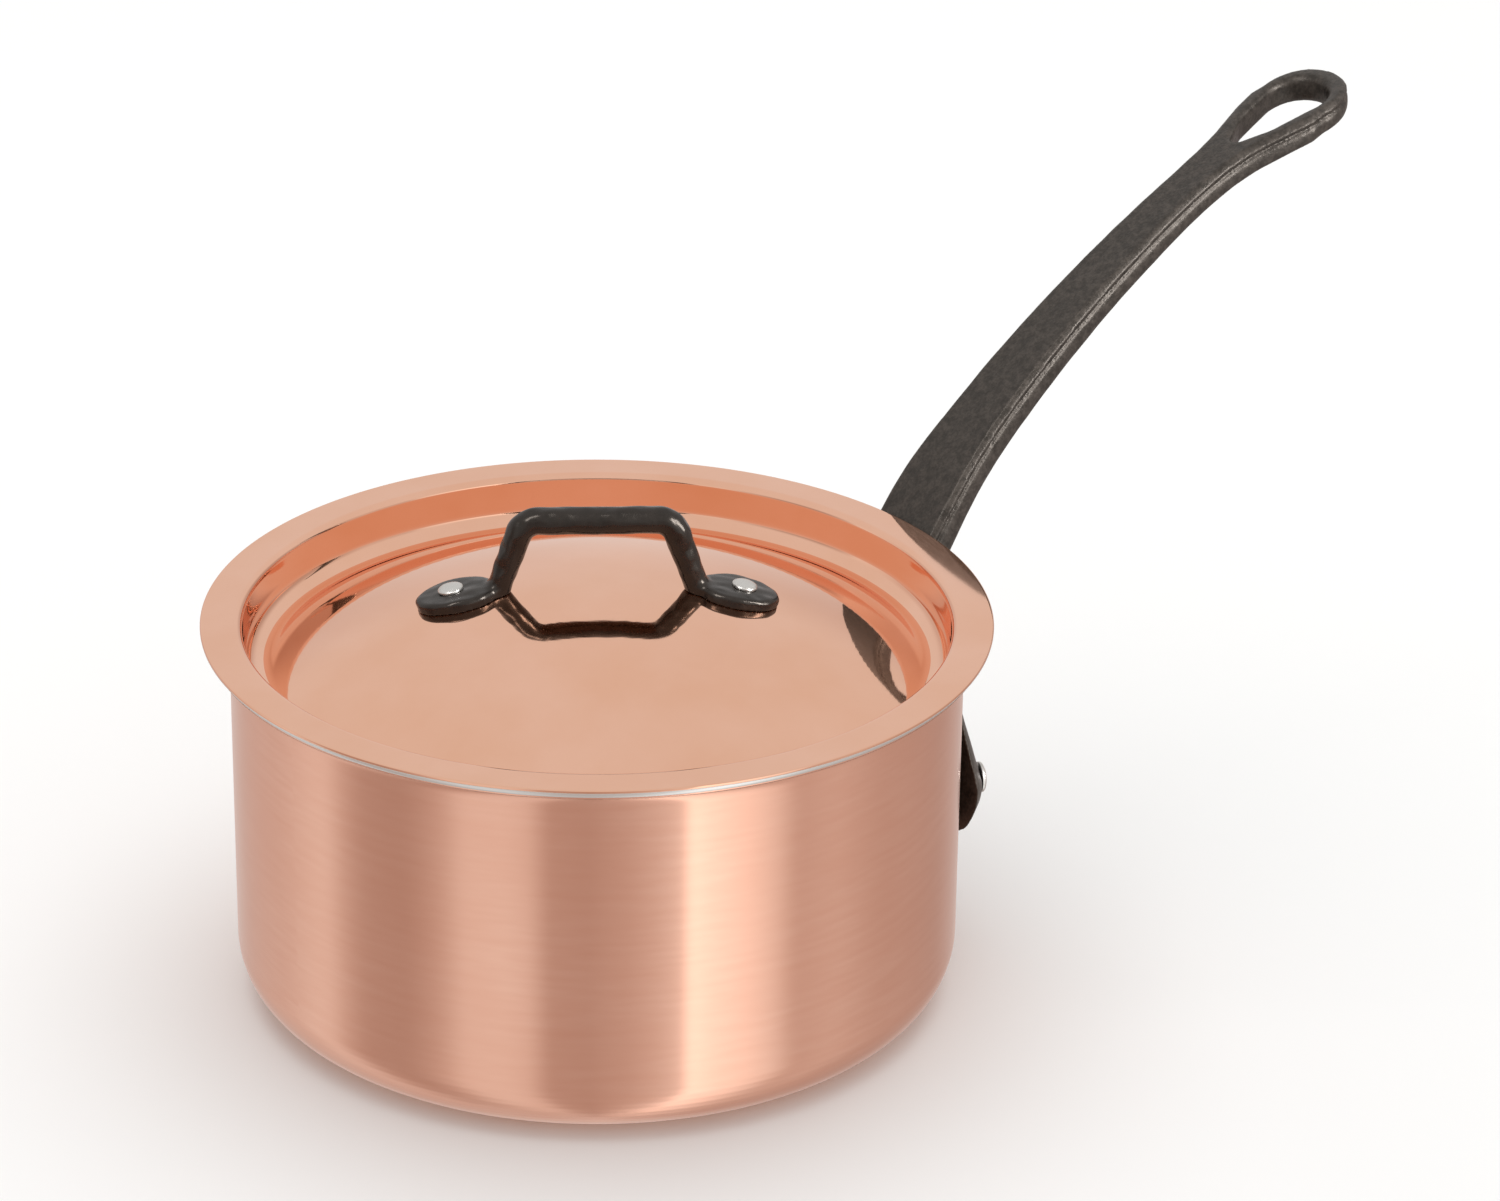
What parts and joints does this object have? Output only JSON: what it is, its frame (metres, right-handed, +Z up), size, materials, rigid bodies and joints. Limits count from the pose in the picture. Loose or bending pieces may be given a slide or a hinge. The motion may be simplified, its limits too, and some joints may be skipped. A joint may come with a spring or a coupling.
{
  "type": "saucepan with lid",
  "caption": "Straight-sided copper saucepan with a pouring lip, a riveted cast-iron handle that ends in a hanging loop, and a domed drop-in lid with an iron handle.",
  "frame": {"origin": "centre of the flat underside of the pan's base", "axes": "+Z up the pan's axis, +X out along the pan's handle"},
  "size_m": [0.3856, 0.22, 0.2142],
  "materials": {
    "copper_satin": "brushed copper, lacquer-free satin",
    "copper_polished": "mirror-polished copper",
    "stainless": "bright stainless steel",
    "cast_iron": "dark cast iron, wiped satin"
  },
  "bodies": {
    "pan": {"pan_body": "copper_satin", "pan_lining": "stainless", "handle": "cast_iron", "handle_rivet_top": "stainless", "handle_rivet_left": "stainless", "handle_rivet_right": "stainless"},
    "lid": {"lid_shell": "copper_polished", "lid_lining": "stainless", "lid_handle": "cast_iron", "lid_rivet_left": "stainless", "lid_rivet_right": "stainless"}
  },
  "joints": [
    {"name": "lid_lift", "type": "slide", "parent": "pan", "child": "lid", "axis": [0, 0, 1], "range_m": [0, 0.15]}
  ]
}
